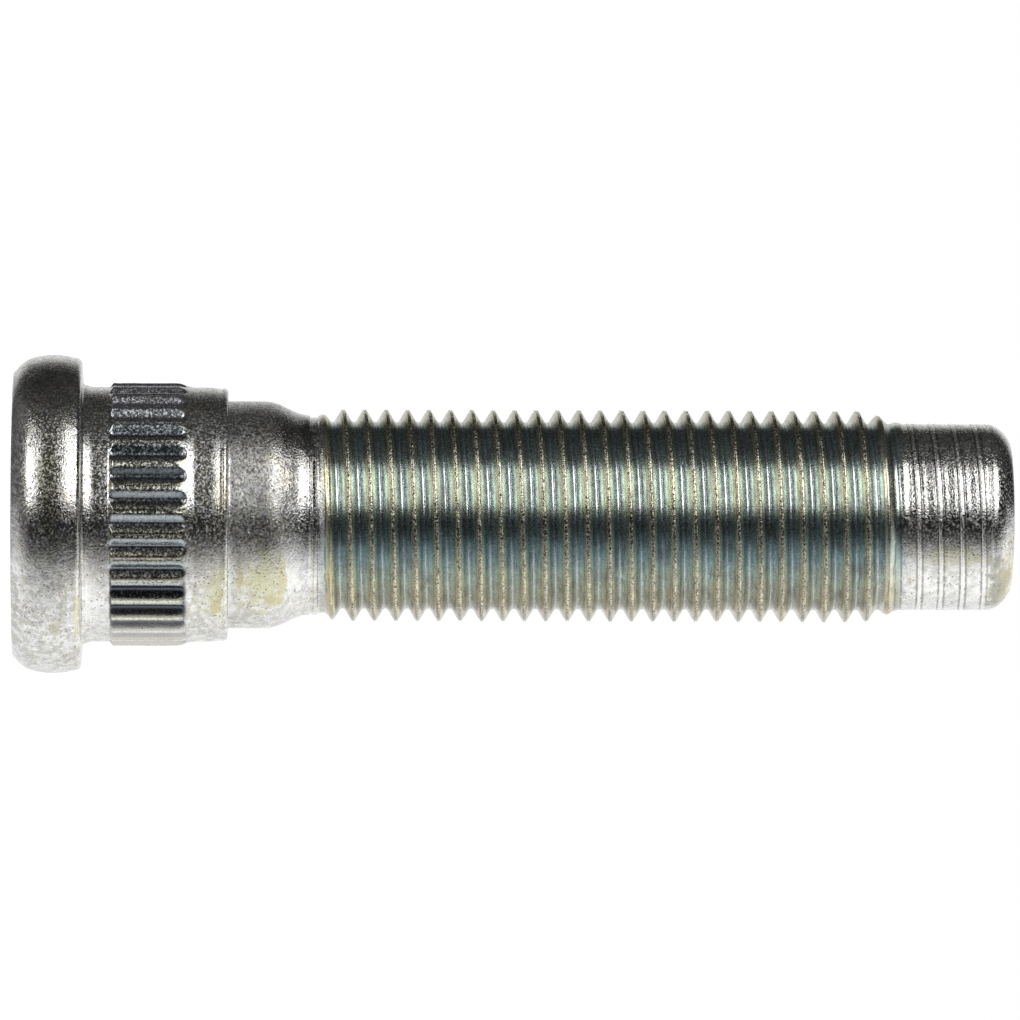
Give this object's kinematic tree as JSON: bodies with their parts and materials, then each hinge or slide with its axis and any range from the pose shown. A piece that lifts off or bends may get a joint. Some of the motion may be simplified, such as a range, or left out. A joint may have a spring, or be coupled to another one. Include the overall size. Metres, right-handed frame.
{
  "type": "wheel stud",
  "caption": "Press-in wheel stud with a round barrel-edged head, a serrated collar, a stepped shoulder, a long rolled right-hand thread and a plain rounded lead point.",
  "frame": {"origin": "centre of the outer face of the head, on which the stud stands", "axes": "+Z along the stud's axis from the head to the lead point; +X and +Y across it, with a serration groove 9.2 degrees round from +X"},
  "size_m": [0.019, 0.019, 0.0591],
  "materials": {
    "zinc_plate": "bright zinc plate with a thin clear passivation that tints straw, olive and steel blue"
  },
  "bodies": {
    "root": {"wheel_stud": "zinc_plate"}
  },
  "joints": []
}
